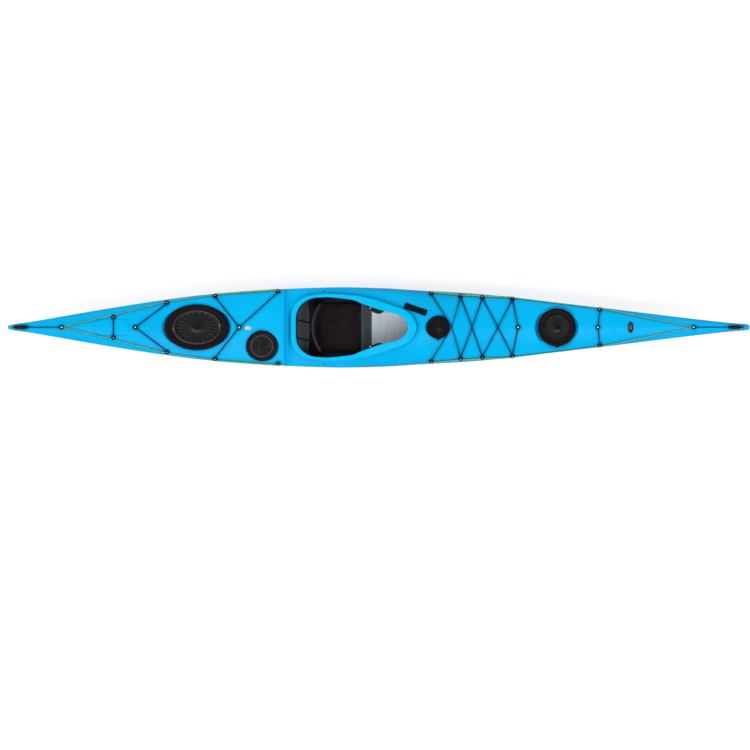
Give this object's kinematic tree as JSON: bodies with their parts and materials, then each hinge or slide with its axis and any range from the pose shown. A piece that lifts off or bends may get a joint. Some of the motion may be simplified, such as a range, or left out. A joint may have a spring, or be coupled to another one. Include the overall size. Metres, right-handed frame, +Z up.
{
  "type": "sea kayak",
  "caption": "Touring sea kayak with a keyhole cockpit, seat and backband, round and oval rubber hatches, deck lines and bungees, sliding footrests and a swinging skeg worked by a deck slider.",
  "frame": {"origin": "centre of the keel's flat bottom, midway between the two ends", "axes": "+X towards the bow along the keel, +Y to port, +Z up"},
  "size_m": [5.2, 0.5658, 0.6466],
  "materials": {
    "hull_blue": "smooth gloss, blue",
    "deck_blue": "smooth gloss, light blue",
    "bulkhead_grey": "matt foam-cored plastic, grey",
    "bulkhead_slate": "matt sheet, slate grey",
    "moulded_black": "fine-grained moulded plastic, black",
    "skeg_black": "matt moulded plastic, black",
    "steel": "brushed stainless steel",
    "cable_black": "smooth black tube",
    "hatch_rubber": "soft matt rubber, black",
    "seat_fabric": "woven fabric over foam, black",
    "foam_black": "closed-cell foam, black",
    "webbing": "flat woven webbing, black",
    "shock_cord": "braided sleeve over rubber, black",
    "deck_line": "braided rope, yellow-green with dark flecks"
  },
  "bodies": {
    "kayak": {"hull": "hull_blue", "deck": "deck_blue", "bow_bulkhead": "bulkhead_grey", "stern_bulkhead": "bulkhead_grey", "cockpit_bulkhead": "bulkhead_slate", "skeg_box": "moulded_black", "skeg_pin": "steel", "skeg_control_track": "moulded_black", "skeg_cable_tube": "cable_black", "bow_hatch_rim": "moulded_black", "stern_hatch_rim": "moulded_black", "day_hatch_rim": "moulded_black", "pod_tub": "moulded_black", "seat_pan": "moulded_black", "seat_pad": "seat_fabric", "backband_strap": "webbing", "hip_pad_port": "foam_black", "hip_pad_starboard": "foam_black", "thigh_brace_port": "moulded_black", "thigh_brace_starboard": "moulded_black", "footrest_rail_port": "moulded_black", "footrest_rail_starboard": "moulded_black", "stern_deck_line": "deck_line", "bow_deck_line": "deck_line", "bow_bungee": "shock_cord", "bow_cross_bungee": "shock_cord", "paddle_bungee": "shock_cord", "aft_bungee": "shock_cord", "stern_bungee": "shock_cord", "stern_toggle_loop": "deck_line", "bow_toggle_loop": "deck_line", "deck_fitting_a_port": "moulded_black", "deck_fitting_a_starboard": "moulded_black", "deck_fitting_b_port": "moulded_black", "deck_fitting_b_starboard": "moulded_black", "deck_fitting_c_port": "moulded_black", "deck_fitting_c_starboard": "moulded_black", "deck_fitting_d_port": "moulded_black", "deck_fitting_d_starboard": "moulded_black", "deck_fitting_e_port": "moulded_black", "deck_fitting_e_starboard": "moulded_black", "deck_fitting_f_port": "moulded_black", "deck_fitting_f_starboard": "moulded_black", "deck_fitting_g_port": "moulded_black", "deck_fitting_g_starboard": "moulded_black", "deck_fitting_h_port": "moulded_black", "deck_fitting_h_starboard": "moulded_black", "deck_fitting_i_port": "moulded_black", "deck_fitting_i_starboard": "moulded_black"},
    "skeg": {"skeg_blade": "skeg_black"},
    "skeg_control_knob": {"skeg_control_knob": "moulded_black"},
    "bow_hatch_cover": {"bow_hatch_cover": "hatch_rubber"},
    "stern_hatch_cover": {"stern_hatch_cover": "hatch_rubber"},
    "day_hatch_cover": {"day_hatch_cover": "hatch_rubber"},
    "pod_hatch_cover": {"pod_hatch_cover": "hatch_rubber"},
    "backband": {"backband": "seat_fabric"},
    "foot_peg_port": {"foot_peg_port": "moulded_black"},
    "foot_peg_starboard": {"foot_peg_starboard": "moulded_black"},
    "stern_toggle": {"stern_toggle": "moulded_black"},
    "bow_toggle": {"bow_toggle": "moulded_black"}
  },
  "joints": [
    {"name": "skeg_pivot", "type": "hinge", "parent": "kayak", "child": "skeg", "pos_m": [-1.904, 0, 0.097], "axis": [0, 1, 0], "range_deg": [0, 54]},
    {"name": "skeg_control_slide", "type": "slide", "parent": "kayak", "child": "skeg_control_knob", "axis": [-0.939, 0.3285, -0.1023], "range_m": [0, 0.1]},
    {"name": "bow_hatch_cover_lift", "type": "slide", "parent": "kayak", "child": "bow_hatch_cover", "axis": [-0.0698, 0, 0.9976], "range_m": [0, 0.12]},
    {"name": "stern_hatch_cover_lift", "type": "slide", "parent": "kayak", "child": "stern_hatch_cover", "axis": [0, 0, 1], "range_m": [0, 0.12]},
    {"name": "day_hatch_cover_lift", "type": "slide", "parent": "kayak", "child": "day_hatch_cover", "axis": [0, -0.1564, 0.9877], "range_m": [0, 0.12]},
    {"name": "pod_hatch_cover_lift", "type": "slide", "parent": "kayak", "child": "pod_hatch_cover", "axis": [-0.1392, 0, 0.9903], "range_m": [0, 0.12]},
    {"name": "backband_tilt", "type": "hinge", "parent": "kayak", "child": "backband", "pos_m": [-0.461, 0, 0.118], "axis": [0, 1, 0], "range_deg": [-12, 20], "deforming": ["backband_strap"]},
    {"name": "foot_peg_port_slide", "type": "slide", "parent": "kayak", "child": "foot_peg_port", "axis": [0.9984, -0.0558, 0], "range_m": [-0.15, 0.15]},
    {"name": "foot_peg_starboard_slide", "type": "slide", "parent": "kayak", "child": "foot_peg_starboard", "axis": [0.9984, 0.0558, 0], "range_m": [-0.15, 0.15]},
    {"name": "stern_toggle_swing", "type": "hinge", "parent": "kayak", "child": "stern_toggle", "pos_m": [-2.553, 0, 0.34913], "axis": [0, -1, 0], "range_deg": [0, 60]},
    {"name": "bow_toggle_swing", "type": "hinge", "parent": "kayak", "child": "bow_toggle", "pos_m": [2.541, 0, 0.42842], "axis": [0, 1, 0], "range_deg": [0, 60]}
  ],
  "couplings": [
    {"joint": "skeg_control_slide", "follows": "skeg_pivot", "m_per_rad": 0.106}
  ]
}
